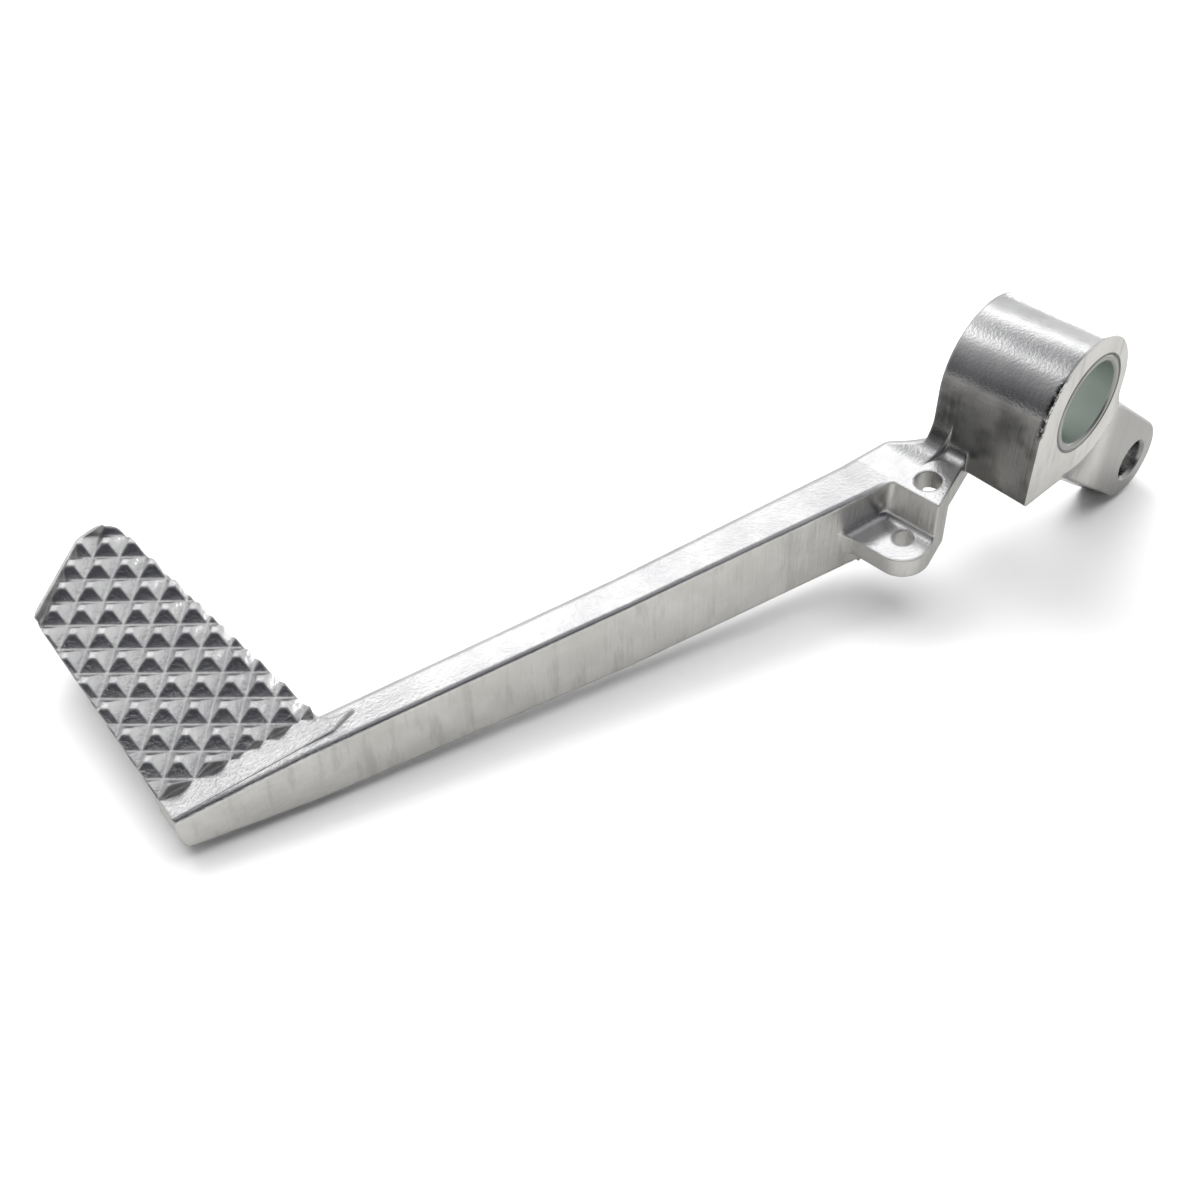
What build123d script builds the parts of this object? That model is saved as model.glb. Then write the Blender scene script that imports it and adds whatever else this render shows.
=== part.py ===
from build123d import *
from math import cos, radians, sin, tan
import os

os.makedirs("parts", exist_ok=True)

# Rear brake pedal of a motorbike: one aluminium casting and the steel bush pressed into its boss.
# Millimetres. +Y runs outboard along the pivot bore, +X from the toe pad to the clevis ear, +Z up.
# The origin is the centre of the bore on the inner face of the boss.

# Pivot bush and boss
bore_diameter = 17.0
bush_wall = 1.5
bush_fit = 0.01
bush_chamfer = 0.35
boss_width = 22.5
boss_radius = 14.5
boss_shift = 2.0
boss_foot = 16.0
boss_heel = 4.0
boss_corner = 1.0
boss_draft = 1.6

# Clevis ear, on the side of the boss away from the toe
ear_setback = 2.0
ear_thickness = 8.0
ear_reach = 32.8
ear_drop = 31.6
ear_hole_diameter = 8.4
ear_hole_chamfer = 0.7
ear_tip_radius = 10.1
ear_root_radius = 10.3
ear_root = (3.8612, -10.1864)
ear_draft = 9.0
ear_cove_start = 15.5
ear_cove_run = 11.5
ear_blend = 6.0
ear_foot_blend = 1.0
ear_edge = 0.8

# Arm, lofted through sections set square to its line in plan, from the toe to the boss.
# Each section gives its distance from the bore, top and bottom below it, width and tilt of the top.
arm_skew = 15.6
arm_inset = 13.6
arm_tip = (180.0, 31.5, 39.0, 7.4, 7.0)
arm_pad_end = (152.0, 27.35, 40.0, 7.4, 7.0)
arm_middle = (88.0, 21.0, 37.4, 8.4, 3.0)
arm_neck = (36.0, 15.0, 32.5, 9.9, 2.3)
arm_end = (24.0, 13.6, 21.5, 10.2, 2.2)
arm_ridge_radius = 0.9
arm_back_radius = 1.5
arm_foot_radius = 1.2
arm_tip_radius = 5.0

# Neck, which sweeps from the end of the arm up into the flank of the boss
neck_rise = 12.5
neck_ramp_radius = 8.0
neck_ramp_top = 4.5
neck_shoulder = 20.5
neck_shoulder_width = 10.3
neck_shoulder_radius = 3.0
neck_back_radius = 1.2

# Toe pad, drawn in the plane at the foot of its tread
pad_centre = (-154.0, 96.0, -25.4)
pad_toe_fall = 10.0
pad_rise = 4.4
pad_thickness = 5.0
pad_toe_edge = ((-15.8, -34.7), (-11.2, 20.9))
pad_end_edge = ((4.6, 31.7), (12.3, 32.0))
pad_toe_corner = 4.0
pad_end_corner = 3.0
pad_heel_corner = 4.5
pad_notch = ((13.6, -38.2), (19.0, -39.7), (13.9, -40.8))
pad_notch_radius = 3.6
strip_edge = ((-60.0, -21.2), (60.0, -44.2))

# Diamond tread: pyramids left between two sets of crossing grooves
tread_height = 2.0
tread_rim = 0.7
tread_pitch = 5.49
tread_turn = -1.86
groove_floor = 0.25
groove_flank_width = 1.15
groove_flank_height = 1.3
groove_width = 4.1
groove_count = 21
last_grooves = (5, 4)

# Spring bracket: two plates joined by a step, square to their own holes
bracket_lean = 11.0
upper_plate_level = 8.5
lower_plate_level = 16.0
plate_thickness = 4.6
upper_plate_edge = 31.4
lower_plate_step = 33.9
lower_plate_edge = 42.6
bracket_tip = (36.8, 14.9)
bracket_tip_radius = 5.5
bracket_front_slope = 14.0
bracket_root = 13.0
step_radius = 2.0
pocket_radius = 1.5
plate_end_blend = 3.0
plate_root_blend = 3.0
spring_hole = (27.3, 16.3)
spring_hole_diameter = 5.4
switch_hole = (36.6, 15.1)
switch_hole_diameter = 4.1

# Shared lines and planes
bore_radius = bore_diameter / 2
bush_radius = bore_radius + bush_wall
boss_flank = boss_shift + boss_radius
arm_line = Vector(cos(radians(arm_skew)), -sin(radians(arm_skew)), 0)
arm_across = Vector(sin(radians(arm_skew)), cos(radians(arm_skew)), 0)
arm_start = Vector(0, arm_inset, 0)
tread_plane = Plane(origin=pad_centre).rotated((pad_rise, -pad_toe_fall, 0))
bracket_plan = Plane.XY.rotated((0, -bracket_lean, 0))
bracket_side = Plane(origin=(0, 0, 0), x_dir=bracket_plan.x_dir, z_dir=(0, -1, 0))
casting_depth = 60.0


def line_point(x, offset=0.0):
    """Point in plan at x, on a line the given distance behind the arm's front face."""
    return (x, arm_inset + offset / cos(radians(arm_skew)) - x * tan(radians(arm_skew)))


def level_height(x):
    """Height of the upper plate at x."""
    return (x * sin(radians(bracket_lean)) - upper_plate_level) / cos(radians(bracket_lean))


def bracket_point(reach, level):
    """Point on the arm's front face, placed along and below the bracket's own origin."""
    point = bracket_plan.from_local_coords(Vector(-reach, 0, -level))
    return Vector(*line_point(point.X), point.Z)


def on_pocket_rim(point):
    """Whether a point lies on the open top or the open end of the bracket's pocket."""
    reach, _, level = bracket_plan.to_local_coords(point)
    return level > -upper_plate_level + bush_fit or reach < -casting_depth + step_radius


def section_corners(section):
    """Corners of an arm section: front top, front bottom, back bottom, back top."""
    _, top, bottom, width, tilt = section
    return ((0, -top), (0, -bottom), (width, -bottom), (width, width * tan(radians(tilt)) - top))


# Arm
arm_radii = (arm_ridge_radius, arm_foot_radius, arm_foot_radius, arm_back_radius)
with BuildPart() as arm:
    for section in (arm_tip, arm_pad_end, arm_middle, arm_neck, arm_end):
        station = arm_start - arm_line * section[0]
        with BuildSketch(Plane(origin=station, x_dir=arm_across, z_dir=arm_line)):
            with BuildLine():
                FilletPolyline(*section_corners(section), radius=arm_radii, close=True)
            make_face()
    loft(ruled=True)
    toe, end = pad_toe_edge
    toe_point = tread_plane.from_local_coords(Vector(*toe, 0))
    toe_rise = tread_plane.from_local_coords(Vector(*end, 0)) - toe_point
    toe_along = Vector(toe_rise.X, toe_rise.Y, 0).normalized()
    toe_corner = (toe_point.X, toe_point.Y, -arm_pad_end[2])
    toe_side = Plane(origin=toe_corner, x_dir=(toe_along.Y, -toe_along.X, 0), z_dir=-toe_along)
    with BuildSketch(toe_side):
        with BuildLine():
            FilletPolyline((casting_depth, 0), (0, 0), (0, casting_depth), radius=arm_tip_radius)
            Polyline((0, casting_depth), (-casting_depth, casting_depth), (-casting_depth, -boss_corner))
            Polyline((-casting_depth, -boss_corner), (casting_depth, -boss_corner), (casting_depth, 0))
        make_face()
    extrude(amount=casting_depth, both=True, mode=Mode.SUBTRACT)

# Neck
neck_start = -arm_neck[0] * cos(radians(arm_skew))
neck_end = -bush_radius
with BuildPart() as neck:
    with BuildSketch():
        with BuildLine():
            Polyline(
                line_point(neck_start, arm_neck[3]),
                line_point(neck_start),
                line_point(neck_end),
                (neck_end, boss_width),
                (-boss_flank, boss_width),
            )
            FilletPolyline(
                (-boss_flank, boss_width),
                line_point(-neck_shoulder, neck_shoulder_width),
                line_point(neck_start, arm_neck[3]),
                radius=neck_shoulder_radius,
            )
        make_face()
    extrude(amount=casting_depth, both=True)
    with BuildSketch(Plane.XZ):
        with BuildLine():
            FilletPolyline(
                (neck_start, level_height(neck_start)),
                (-boss_flank, level_height(-boss_flank)),
                (-boss_flank, -neck_ramp_top),
                radius=neck_ramp_radius,
            )
            Polyline(
                (-boss_flank, -neck_ramp_top),
                (neck_end, -neck_ramp_top),
                (neck_end, -neck_rise),
                (-boss_flank, -boss_foot + boss_corner),
                (neck_start, -arm_neck[2]),
                (neck_start, level_height(neck_start)),
            )
        make_face()
    extrude(amount=-casting_depth, mode=Mode.INTERSECT)
    rims = [edge for face in neck.faces() if face.normal_at().Z > 0.3 for edge in face.edges()]
    back = [edge for edge in rims if arm_across.dot(edge.center() - arm_start) > arm_neck[3] * 0.9]
    fillet(back, neck_back_radius)

# Grooves of the tread, kept off the strip and off a rim round the far end of the pad
with BuildPart() as grooves:
    rising = (45 + tread_turn, casting_depth, last_grooves[0] * tread_pitch)
    falling = (-45 + tread_turn, last_grooves[1] * tread_pitch, casting_depth)
    for turn, before, after in (rising, falling):
        along = tread_plane.x_dir * cos(radians(turn)) + tread_plane.y_dir * sin(radians(turn))
        groove_plane = Plane(
            origin=tread_plane.origin - along * before,
            x_dir=tread_plane.z_dir.cross(along),
            z_dir=along,
        )
        with BuildSketch(groove_plane):
            with GridLocations(tread_pitch, tread_pitch, groove_count, 1):
                Polygon(
                    (-groove_floor / 2, 0),
                    (-groove_floor / 2 - groove_flank_width, groove_flank_height),
                    (-groove_width / 2, tread_height),
                    (-groove_width / 2, 2 * tread_height),
                    (groove_width / 2, 2 * tread_height),
                    (groove_width / 2, tread_height),
                    (groove_floor / 2 + groove_flank_width, groove_flank_height),
                    (groove_floor / 2, 0),
                    align=None,
                )
        extrude(amount=before + after)
    toe_limit = (pad_toe_edge[1][0], pad_toe_edge[1][1] - tread_rim)
    end_limit = (pad_end_edge[0][0], pad_end_edge[0][1] - tread_rim)
    with BuildSketch(tread_plane):
        with BuildLine():
            FilletPolyline(
                (-casting_depth, toe_limit[1]),
                toe_limit,
                end_limit,
                (casting_depth, end_limit[1]),
                radius=pad_end_corner,
            )
            Polyline((casting_depth, end_limit[1]), *reversed(strip_edge), (-casting_depth, toe_limit[1]))
        make_face()
    extrude(amount=2 * tread_height, mode=Mode.INTERSECT)

# Toe pad: a plate with the tread standing on it and a plain strip beside the arm
with BuildPart() as pad:
    with BuildSketch(tread_plane.offset(-pad_thickness)):
        with BuildLine():
            FilletPolyline(
                pad_toe_edge[0],
                pad_toe_edge[1],
                pad_end_edge[0],
                pad_end_edge[1],
                pad_notch[0],
                pad_notch[1],
                radius=(pad_toe_corner, pad_end_corner, pad_heel_corner, pad_notch_radius),
            )
            Polyline(pad_notch[1], pad_notch[2], pad_toe_edge[0])
        make_face()
    extrude(amount=pad_thickness + tread_height)
    with BuildSketch(tread_plane):
        Polygon(*strip_edge, (0, -casting_depth), align=None)
    extrude(amount=2 * tread_height, mode=Mode.SUBTRACT)
    add(grooves.part, mode=Mode.SUBTRACT)

# Pocket above the lower plate, rounded where it meets the step and the arm
with BuildPart() as pocket:
    with BuildSketch(bracket_side):
        with BuildLine():
            FilletPolyline(
                (-casting_depth, -lower_plate_level),
                (-lower_plate_step, -lower_plate_level),
                (-upper_plate_edge, -upper_plate_level),
                radius=step_radius,
            )
            Polyline((-upper_plate_edge, -upper_plate_level), (-upper_plate_edge, 0), (-casting_depth, 0))
            Line((-casting_depth, 0), (-casting_depth, -lower_plate_level))
        make_face()
    extrude(amount=-casting_depth)
    with BuildSketch():
        Polygon(line_point(-2 * casting_depth), line_point(0), (0, 0), (-2 * casting_depth, 0), align=None)
    extrude(amount=casting_depth, both=True, mode=Mode.INTERSECT)
    arm_side = pocket.faces().filter_by(lambda face: face.normal_at().dot(arm_across) > 1 - bush_fit)[0]
    rounded = arm_side.edges().filter_by(lambda edge: not on_pocket_rim(edge.center()))
    fillet(rounded, pocket_radius)

# Spring bracket
with BuildPart() as bracket:
    with BuildSketch(bracket_plan):
        tip_x, tip_y = bracket_tip
        slope = tan(radians(bracket_front_slope))
        front_y = tip_y - bracket_tip_radius / cos(radians(bracket_front_slope))
        flare_reach = lower_plate_edge + 3 * plate_end_blend
        flare_start = (-flare_reach, bracket_point(flare_reach, lower_plate_level).Y + bush_chamfer)
        with BuildLine():
            FilletPolyline(
                flare_start,
                (-lower_plate_edge, bracket_point(lower_plate_edge, lower_plate_level).Y),
                (-lower_plate_edge, front_y + (tip_x - lower_plate_edge) * slope),
                (-bracket_root, front_y + (tip_x - bracket_root) * slope),
                radius=(plate_end_blend, bracket_tip_radius),
            )
            Polyline(
                (-bracket_root, front_y + (tip_x - bracket_root) * slope),
                (-bracket_root, boss_width),
                (-lower_plate_edge, tip_y + 2.4 * bracket_tip_radius),
                flare_start,
            )
        make_face()
    extrude(amount=casting_depth, both=True)
    with BuildSketch(bracket_side):
        Polygon(
            (-casting_depth, -upper_plate_level),
            (-bracket_root, -upper_plate_level),
            (-bracket_root, -upper_plate_level - plate_thickness),
            (-upper_plate_edge + plate_thickness, -upper_plate_level - plate_thickness),
            (-lower_plate_step + plate_thickness, -lower_plate_level - plate_thickness),
            (-casting_depth, -lower_plate_level - plate_thickness),
            align=None,
        )
    extrude(amount=-casting_depth, mode=Mode.INTERSECT)
    add(pocket.part, mode=Mode.SUBTRACT)

# Boss, a cylinder drawn out to a square stop at its foot
with BuildPart() as boss:
    with BuildSketch(Plane.XZ) as boss_outline:
        with Locations((-boss_shift, 0)):
            Circle(boss_radius)
        with BuildLine():
            Polyline(
                (-boss_flank, 0),
                (-boss_flank, -boss_foot),
                (-boss_heel, -boss_foot),
                (boss_radius - boss_shift, 0),
                close=True,
            )
        make_face()
    extrude(amount=-boss_width)
    with BuildSketch(Plane.YZ):
        with BuildLine():
            Polyline(
                (0, -boss_foot),
                (boss_width, -boss_foot + boss_draft),
                (boss_width, -boss_foot),
                close=True,
            )
        make_face()
    extrude(amount=casting_depth, both=True, mode=Mode.SUBTRACT)
    corner = boss.edges().filter_by(lambda edge: abs(edge.center().X + boss_flank) < bush_fit)
    fillet(corner.sort_by(Axis.Z)[0], boss_corner)

# Clevis ear, set back from the face of the boss by a wide cove
with BuildPart() as ear:
    with BuildSketch(Plane.XZ.offset(-ear_setback - ear_thickness)):
        with Locations(ear_root):
            Circle(ear_root_radius)
        with Locations((ear_reach, -ear_drop)):
            Circle(ear_tip_radius)
        make_hull()
    extrude(amount=ear_setback + ear_thickness, taper=ear_draft)
    with BuildSketch(Plane.XY):
        cove_end = ear_cove_start + ear_cove_run
        cove_radius = (ear_cove_run**2 + ear_setback**2) / (2 * ear_setback)
        with BuildLine():
            Polyline(
                (cove_end, ear_setback),
                (2 * ear_reach, ear_setback),
                (2 * ear_reach, -ear_setback),
                (ear_cove_start, -ear_setback),
                (ear_cove_start, 0),
            )
            RadiusArc((ear_cove_start, 0), (cove_end, ear_setback), cove_radius)
        make_face()
    revolve(axis=Axis.Y, mode=Mode.SUBTRACT)
    with BuildSketch(Plane.XZ):
        with Locations((ear_reach, -ear_drop)):
            Circle(ear_hole_diameter / 2)
    extrude(amount=-ear_setback - ear_thickness, mode=Mode.SUBTRACT)
    hole_rims = ear.edges().filter_by(GeomType.CIRCLE).filter_by(
        lambda edge: abs(edge.radius - ear_hole_diameter / 2) < bush_fit
    )
    chamfer(hole_rims, ear_hole_chamfer)

# The lever is one casting
with BuildPart() as pedal_lever:
    for piece in (arm, neck, bracket, boss, ear):
        add(piece.part)
    with BuildSketch(Plane.XZ):
        Circle(bush_radius)
    extrude(amount=-boss_width, mode=Mode.SUBTRACT)
    for place, diameter in ((spring_hole, spring_hole_diameter), (switch_hole, switch_hole_diameter)):
        with BuildSketch(bracket_plan):
            with Locations((-place[0], place[1])):
                Circle(diameter / 2)
        extrude(amount=-casting_depth / 2, mode=Mode.SUBTRACT)
    flank_level = level_height(-boss_flank)
    flank_y = line_point(-boss_flank)[1]
    blends = (
        (Vector(-boss_flank, flank_y - plate_root_blend / 2, flank_level), plate_root_blend),
        (Vector(boss_radius - boss_shift, ear_setback + ear_thickness / 2, -boss_radius / 2), ear_blend),
        (Vector(-boss_heel, ear_setback + ear_thickness / 2, -boss_foot), ear_foot_blend),
        (Vector(ear_reach + ear_tip_radius, ear_setback, -ear_drop), ear_edge),
    )
    for point, radius in blends:
        fillet(pedal_lever.edges().sort_by_distance(point)[0], radius)
    add(pad.part)

# Bush pressed into the boss
with BuildPart() as pivot_bush:
    with BuildSketch(Plane.XZ):
        Circle(bush_radius - bush_fit)
        Circle(bore_radius, mode=Mode.SUBTRACT)
    extrude(amount=-boss_width)
    chamfer(pivot_bush.edges().filter_by(GeomType.CIRCLE), bush_chamfer)

pedal_lever.part.label = "pedal_lever"
pivot_bush.part.label = "pivot_bush"
export_step(pedal_lever.part, "parts/pedal_lever.step")
export_step(pivot_bush.part, "parts/pivot_bush.step")
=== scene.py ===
from math import cos, radians, sin

import bpy
from mathutils import Matrix, Vector


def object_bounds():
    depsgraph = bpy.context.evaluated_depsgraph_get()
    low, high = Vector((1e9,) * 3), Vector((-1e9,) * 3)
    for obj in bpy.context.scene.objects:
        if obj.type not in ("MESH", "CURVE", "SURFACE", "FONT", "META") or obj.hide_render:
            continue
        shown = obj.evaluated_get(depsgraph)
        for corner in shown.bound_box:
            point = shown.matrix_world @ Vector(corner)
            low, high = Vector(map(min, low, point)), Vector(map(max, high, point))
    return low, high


# A bright cast brake pedal lying on a white table, under soft studio light.
# Lengths are in metres and headings in degrees.
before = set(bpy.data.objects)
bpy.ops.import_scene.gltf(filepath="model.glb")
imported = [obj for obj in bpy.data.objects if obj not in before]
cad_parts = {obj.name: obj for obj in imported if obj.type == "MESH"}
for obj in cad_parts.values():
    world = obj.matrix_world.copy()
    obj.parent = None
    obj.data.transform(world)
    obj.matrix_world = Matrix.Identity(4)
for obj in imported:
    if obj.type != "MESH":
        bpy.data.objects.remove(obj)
bounds_before = [list(corner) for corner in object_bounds()]
table_height = bounds_before[0][2]

# Camera: its viewpoint, its three picture directions, and its lens and sensor in millimetres
CAMERA_PLACE = Vector((-0.211697, -0.093763, 0.147629))
CAMERA_RIGHT = Vector((0.72609, -0.68718, -0.02396))
CAMERA_DOWN = Vector((-0.47761, -0.47896, -0.73654))
CAMERA_FORWARD = Vector((0.49466, 0.54624, -0.67597))
CAMERA_LENS = 40.43
SENSOR_WIDTH = 36.0

# Where the casting's finish and its painted shade change. Each range runs from none of the change to all of
# it.
UPRIGHT_FACES = (0.1, 0.35)
CLOUD_SPAN = (0.3, 0.7)
STREAK_SPAN = (0.50, 0.72)
STREAK_STRENGTH = 0.45
FACES_TO_TOE = (-0.40, -0.98)
BOSS_SIDE = (-0.030, -0.018)
FLANK_SHADE_HEIGHT = (0.014, -0.001)
FLANK_MOTTLE_SPAN = (0.35, 0.65)
EAR_START = (0.013, 0.021)
EAR_DARKENING = 0.8
END_FACES = (0.9, 0.99)
JOINT_RADIUS = (0.01045, 0.01015)
BOSS_SHIFT = 0.002
CHIP_SPAN = (0.44, 0.52)
CHIP_DEPTH = (0.0012, 0.0003)
CHIP_RADIUS = (0.0133, 0.0138)
CHIP_SIDE = (-0.006, -0.009)
CHIP_FOOT = (-0.001, 0.001)
CHIP_TOP = (0.0115, 0.0095)
TREAD_START = (-0.136, -0.140)
EDGE_RADIUS = 0.0007

# The table whitens for the camera between these distances from the bore
TABLE_SIZE = 6.0
TABLE_FADE = (0.45, 0.75)

# The mirrored room: sine of the height, and the lean towards a heading
ROOM_AHEAD = 40
ROOM_DARK_BEHIND = (-0.70, 0.30)
WALL_HEIGHT = (0.0, 0.68)
CEILING_HEIGHT = (0.86, 0.93)
WINDOW_FOOT = (0.735, 0.80)
WINDOW_TOP = (0.825, 0.885)
WINDOW_HEADING = 80
WINDOW_SIDE = (0.26, 0.40)
WINDOW_LEVEL = 1.8

LAMP_TARGET = Vector((-0.07, 0.04, -0.02))


def grey(level):
    return (level, level, level, 1)


def heading(azimuth, elevation):
    turn, lift = radians(azimuth), radians(elevation)
    return Vector((cos(turn) * cos(lift), sin(turn) * cos(lift), sin(lift)))


class Nodes:
    """A material's or world's node tree, with short calls to add and join nodes."""

    def __init__(self, tree):
        self.tree = tree
        tree.nodes.clear()

    def add(self, kind, **settings):
        node = self.tree.nodes.new("ShaderNode" + kind)
        for name, value in settings.items():
            setattr(node, name, value)
        return node

    def join(self, source, target):
        self.tree.links.new(source, target)

    def feed(self, socket, value):
        """Join a socket to the target, or set the target to a constant."""
        if isinstance(value, bpy.types.NodeSocket):
            self.join(value, socket)
        else:
            socket.default_value = value

    def math(self, operation, first, second=0.0):
        node = self.add("Math", operation=operation)
        self.feed(node.inputs[0], first)
        self.feed(node.inputs[1], second)
        return node.outputs[0]

    def product(self, *factors):
        result = factors[0]
        for factor in factors[1:]:
            result = self.math("MULTIPLY", result, factor)
        return result

    def length(self, first, second):
        squares = [self.math("MULTIPLY", side, side) for side in (first, second)]
        return self.math("SQRT", self.math("ADD", *squares))

    def smooth(self, value, span):
        """0 at the start of the span and 1 at its end, which may be the lower, with a soft step between."""
        node = self.add("MapRange", interpolation_type="SMOOTHSTEP")
        self.feed(node.inputs["Value"], value)
        node.inputs["From Min"].default_value, node.inputs["From Max"].default_value = span
        return node.outputs[0]

    def mix(self, factor, first, second):
        node = self.add("Mix", data_type="RGBA")
        self.feed(node.inputs[0], factor)
        self.feed(node.inputs[6], first)
        self.feed(node.inputs[7], second)
        return node.outputs[2]

    def noise(self, vector, scale, detail=3.0, roughness=0.5):
        node = self.add("TexNoise")
        self.join(vector, node.inputs["Vector"])
        node.inputs["Scale"].default_value = scale
        node.inputs["Detail"].default_value = detail
        node.inputs["Roughness"].default_value = roughness
        return node.outputs["Fac"]

    def stretched(self, vector, scale):
        node = self.add("Mapping")
        self.join(vector, node.inputs["Vector"])
        node.inputs["Scale"].default_value = scale
        return node.outputs["Vector"]

    def split(self, vector):
        node = self.add("SeparateXYZ")
        self.join(vector, node.inputs[0])
        return node.outputs

    def place(self):
        return self.add("TexCoord").outputs["Object"]

    def facing(self):
        return self.split(self.add("NewGeometry").outputs["True Normal"])

    def along(self, vector, azimuth):
        """How far a direction leans towards the level heading, from -1 to 1."""
        node = self.add("VectorMath", operation="DOT_PRODUCT")
        self.join(vector, node.inputs[0])
        node.inputs[1].default_value = heading(azimuth, 0)
        return node.outputs["Value"]

    def bump(self, height, strength, distance, normal):
        node = self.add("Bump")
        node.inputs["Strength"].default_value = strength
        node.inputs["Distance"].default_value = distance
        self.join(height, node.inputs["Height"])
        self.join(normal, node.inputs["Normal"])
        return node.outputs["Normal"]

    def finish(self, surface, kind="OutputMaterial"):
        self.join(surface, self.add(kind).inputs["Surface"])


def new_material(name):
    material = bpy.data.materials.new(name)
    material.use_nodes = True
    return material, Nodes(material.node_tree)


def chipped_rim(nodes, place, x, y, z):
    """Dark chips along the rim of the boss's end face, on the side towards the toe."""
    from_boss_axis = nodes.length(nodes.math("ADD", x, BOSS_SHIFT), z)
    return nodes.product(
        nodes.smooth(nodes.noise(place, 900.0, 3.0, 0.7), CHIP_SPAN),
        nodes.smooth(y, CHIP_DEPTH),
        nodes.smooth(from_boss_axis, CHIP_RADIUS),
        nodes.smooth(x, CHIP_SIDE),
        nodes.smooth(z, CHIP_FOOT),
        nodes.smooth(z, CHIP_TOP),
    )


def cast_aluminium():
    """Tumbled aluminium: bright, cloudy, brushed upright on its side faces, with painted shade on its
    upright faces and on the boss's flank.
    """
    material, nodes = new_material("cast_aluminium")
    place = nodes.place()
    x, y, z = nodes.split(place)
    facing = nodes.facing()
    level = nodes.smooth(nodes.math("ABSOLUTE", facing[2]), UPRIGHT_FACES)
    upright = nodes.math("SUBTRACT", 1.0, level)
    cloud = nodes.smooth(nodes.noise(place, 110.0, 4.0, 0.6), CLOUD_SPAN)
    # Upright faces are painted darker than level ones: painted shade by facing, over a cloudy tone
    bright = nodes.mix(cloud, grey(0.86), (0.72, 0.72, 0.73, 1))
    side = nodes.mix(cloud, (0.78, 0.775, 0.76, 1), (0.68, 0.675, 0.655, 1))
    colour = nodes.mix(upright, bright, side)

    # Darker upright streaks on the side faces
    streaks = nodes.noise(nodes.stretched(place, (420.0, 420.0, 70.0)), 1.0, 3.0, 0.6)
    streaks = nodes.product(nodes.smooth(streaks, STREAK_SPAN), upright, STREAK_STRENGTH)
    colour = nodes.mix(streaks, colour, (0.46, 0.455, 0.44, 1))

    # Painted shade on the boss's flank, towards the toe, darker low down and mottled
    flank_shade_mask = nodes.product(
        nodes.smooth(facing[0], FACES_TO_TOE),
        nodes.smooth(x, BOSS_SIDE),
        nodes.smooth(z, FLANK_SHADE_HEIGHT),
    )
    flank_mottle = nodes.smooth(nodes.noise(place, 150.0, 2.0, 0.5), FLANK_MOTTLE_SPAN)
    flank_shade_colour = nodes.mix(flank_mottle, (0.15, 0.149, 0.146, 1), (0.29, 0.287, 0.283, 1))
    colour = nodes.mix(flank_shade_mask, colour, flank_shade_colour)

    # The ear is darker
    ear_darkening = nodes.product(nodes.smooth(x, EAR_START), EAR_DARKENING)
    colour = nodes.mix(ear_darkening, colour, grey(0.35))

    # Machined end face: a dark joint round the bush and chips along the boss's rim
    end_face = nodes.smooth(nodes.math("ABSOLUTE", facing[1]), END_FACES)
    joint = nodes.product(end_face, nodes.smooth(nodes.length(x, z), JOINT_RADIUS))
    colour = nodes.mix(joint, colour, grey(0.10))
    colour = nodes.mix(chipped_rim(nodes, place, x, y, z), colour, grey(0.05))

    shader = nodes.add("BsdfPrincipled")
    nodes.join(colour, shader.inputs["Base Color"])
    shader.inputs["Metallic"].default_value = 1.0
    rough = nodes.math("ADD", nodes.product(upright, 0.12), 0.18)
    nodes.join(rough, shader.inputs["Roughness"])

    # Rounded edges, fine grain all over, a rougher tread and brushed side faces
    rounded = nodes.add("Bevel", samples=4)
    rounded.inputs["Radius"].default_value = EDGE_RADIUS
    grain = nodes.noise(place, 1700.0, 3.0, 0.7)
    rougher = nodes.product(nodes.noise(place, 1300.0, 3.0, 0.7), nodes.smooth(x, TREAD_START))
    brushing = nodes.noise(nodes.stretched(place, (1400.0, 1400.0, 60.0)), 1.0, 2.0)
    normal = nodes.bump(grain, 0.22, 0.0002, rounded.outputs[0])
    normal = nodes.bump(rougher, 0.35, 0.0004, normal)
    normal = nodes.bump(nodes.product(brushing, upright), 0.30, 0.0003, normal)
    nodes.join(normal, shader.inputs["Normal"])
    nodes.finish(shader.outputs[0])
    return material


def plated_bush():
    """Smooth steel with a pale green-grey plating, greyer on its end faces."""
    material, nodes = new_material("plated_bush")
    cloud = nodes.noise(nodes.place(), 90.0)
    colour = nodes.mix(cloud, (0.72, 0.77, 0.74, 1), (0.80, 0.85, 0.82, 1))
    end_face = nodes.smooth(nodes.math("ABSOLUTE", nodes.facing()[1]), (0.3, 0.6))
    colour = nodes.mix(end_face, colour, (0.40, 0.41, 0.40, 1))
    shader = nodes.add("BsdfPrincipled")
    nodes.join(colour, shader.inputs["Base Color"])
    shader.inputs["Metallic"].default_value = 0.9
    shader.inputs["Roughness"].default_value = 0.35
    nodes.finish(shader.outputs[0])
    return material


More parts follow.
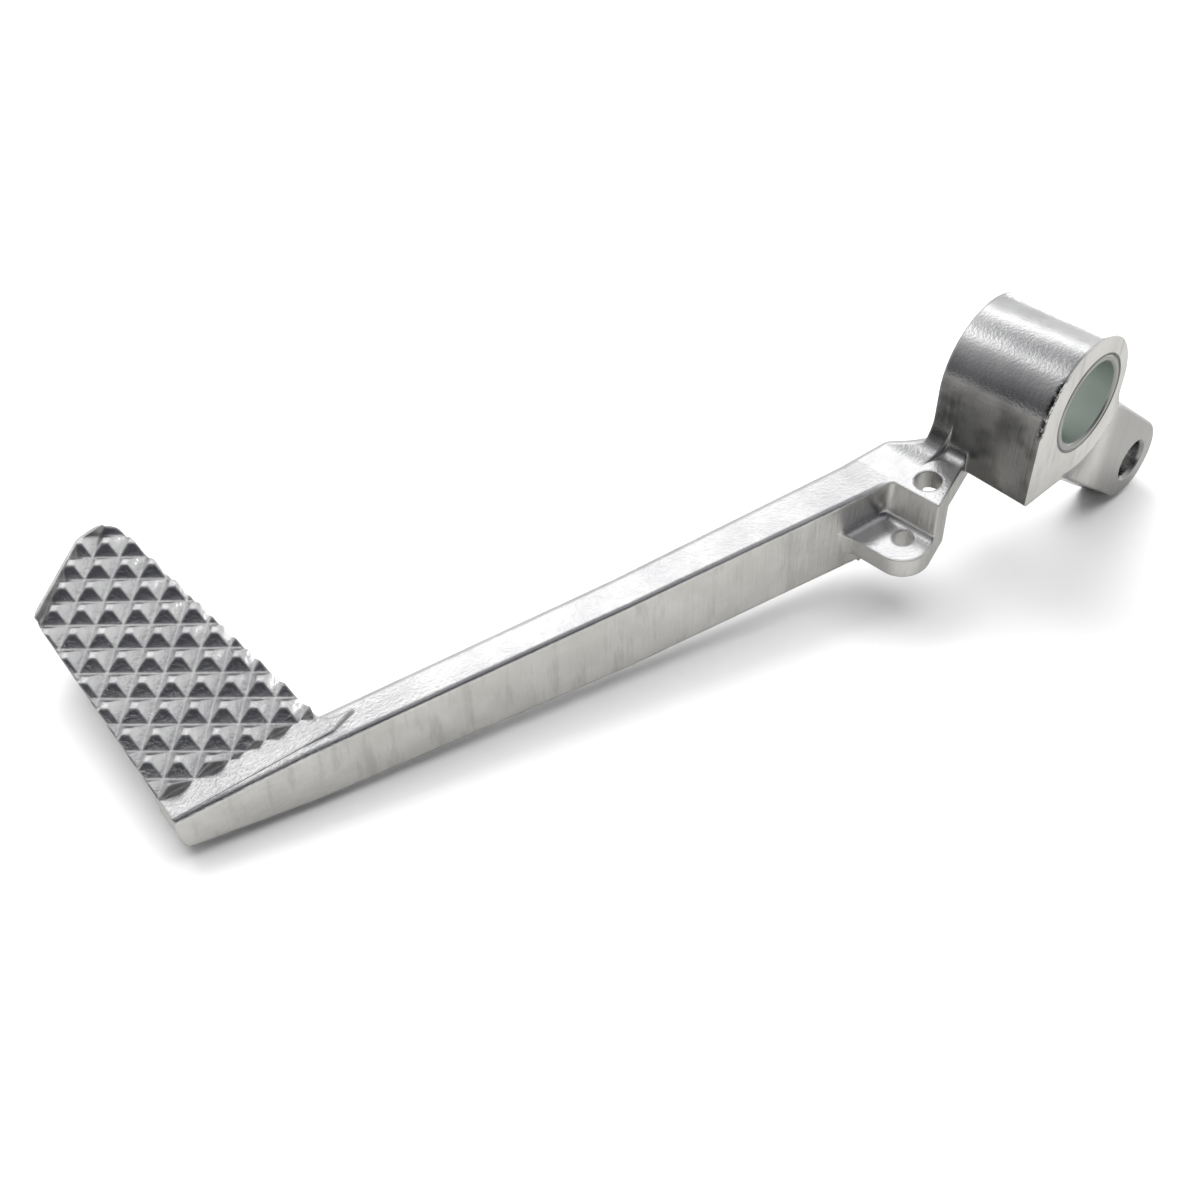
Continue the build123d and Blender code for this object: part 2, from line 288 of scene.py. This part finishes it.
def table_material():
    """A white table: bright to the camera, painted greyer where the metal mirrors it as painted shade, and
    blank far away.
    """
    material, nodes = new_material("white_table")
    to_camera = nodes.add("LightPath").outputs["Is Camera Ray"]
    place = nodes.place()
    grain = nodes.noise(place, 30.0)
    white = nodes.mix(grain, grey(0.93), grey(0.95))
    # The metal's reflections see the table painted grey: painted shade
    mirrored = nodes.mix(grain, (0.55, 0.545, 0.53, 1), (0.59, 0.585, 0.57, 1))
    shader = nodes.add("BsdfPrincipled")
    nodes.join(nodes.mix(to_camera, mirrored, white), shader.inputs["Base Color"])
    shader.inputs["Roughness"].default_value = 0.9
    shader.inputs["Specular IOR Level"].default_value = 0.0
    x, y, _ = nodes.split(place)
    distant = nodes.smooth(nodes.length(x, y), TABLE_FADE)
    faded = nodes.add("MixShader")
    nodes.join(nodes.product(distant, to_camera), faded.inputs[0])
    nodes.join(shader.outputs[0], faded.inputs[1])
    nodes.join(nodes.add("Emission").outputs[0], faded.inputs[2])
    nodes.finish(faded.outputs[0])
    return material


def lay_table():
    bpy.ops.mesh.primitive_plane_add(size=TABLE_SIZE, location=(0, 0, table_height))
    table = bpy.context.object
    table.name = "table"
    table.data.materials.append(table_material())


def light_room():
    """The room the metal mirrors: dark behind the camera, grey ahead, a bright window high ahead."""
    world = bpy.data.worlds.new("room")
    bpy.context.scene.world = world
    world.use_nodes = True
    nodes = Nodes(world.node_tree)
    direction = nodes.add("TexCoord").outputs["Generated"]
    height = nodes.split(direction)[2]
    wall = nodes.mix(nodes.smooth(height, WALL_HEIGHT), grey(0.62), grey(0.74))
    lit = nodes.smooth(nodes.along(direction, ROOM_AHEAD), ROOM_DARK_BEHIND)
    glow = nodes.mix(lit, (0.06, 0.06, 0.07, 1), wall)
    glow = nodes.mix(nodes.smooth(height, CEILING_HEIGHT), glow, (0.32, 0.32, 0.33, 1))
    window = nodes.product(
        nodes.smooth(height, WINDOW_FOOT),
        nodes.math("SUBTRACT", 1.0, nodes.smooth(height, WINDOW_TOP)),
        nodes.smooth(nodes.along(direction, WINDOW_HEADING), WINDOW_SIDE),
    )
    glow = nodes.mix(window, glow, grey(WINDOW_LEVEL))
    to_camera = nodes.add("LightPath").outputs["Is Camera Ray"]
    background = nodes.add("Background")
    nodes.join(nodes.mix(to_camera, glow, grey(1)), background.inputs["Color"])
    nodes.finish(background.outputs[0], "OutputWorld")


def softbox(name, azimuth, elevation, distance, size, power, mirrored):
    """An area light of the given power in watts, aimed at the pedal from the given heading."""
    data = bpy.data.lights.new(name, "AREA")
    data.shape = "RECTANGLE"
    data.size, data.size_y = size
    data.energy = power
    lamp = bpy.data.objects.new(name, data)
    bpy.context.collection.objects.link(lamp)
    away = heading(azimuth, elevation)
    lamp.location = LAMP_TARGET + away * distance
    lamp.rotation_euler = away.to_track_quat("Z", "Y").to_euler()
    lamp.visible_glossy = mirrored


def set_camera():
    data = bpy.data.cameras.new("camera")
    data.lens = CAMERA_LENS
    data.sensor_width = SENSOR_WIDTH
    camera = bpy.data.objects.new("camera", data)
    bpy.context.collection.objects.link(camera)
    turn = Matrix((CAMERA_RIGHT, -CAMERA_DOWN, -CAMERA_FORWARD)).transposed()
    camera.matrix_world = Matrix.Translation(CAMERA_PLACE) @ turn.to_4x4()
    bpy.context.scene.camera = camera


finishes = {"pedal_lever": cast_aluminium(), "pivot_bush": plated_bush()}
for node_name, finish in finishes.items():
    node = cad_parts[node_name]
    node.data.materials.clear()
    node.data.materials.append(finish)

lay_table()
light_room()
softbox("window", 75, 58, 0.9, (0.7, 0.5), 4.0, mirrored=False)
softbox("overhead", 0, 88, 1.0, (1.0, 1.0), 9.0, mirrored=False)
softbox("side_box", 3, 3, 0.6, (0.35, 0.25), 1.3, mirrored=True)
set_camera()
bpy.context.scene.view_settings.view_transform = "Standard"
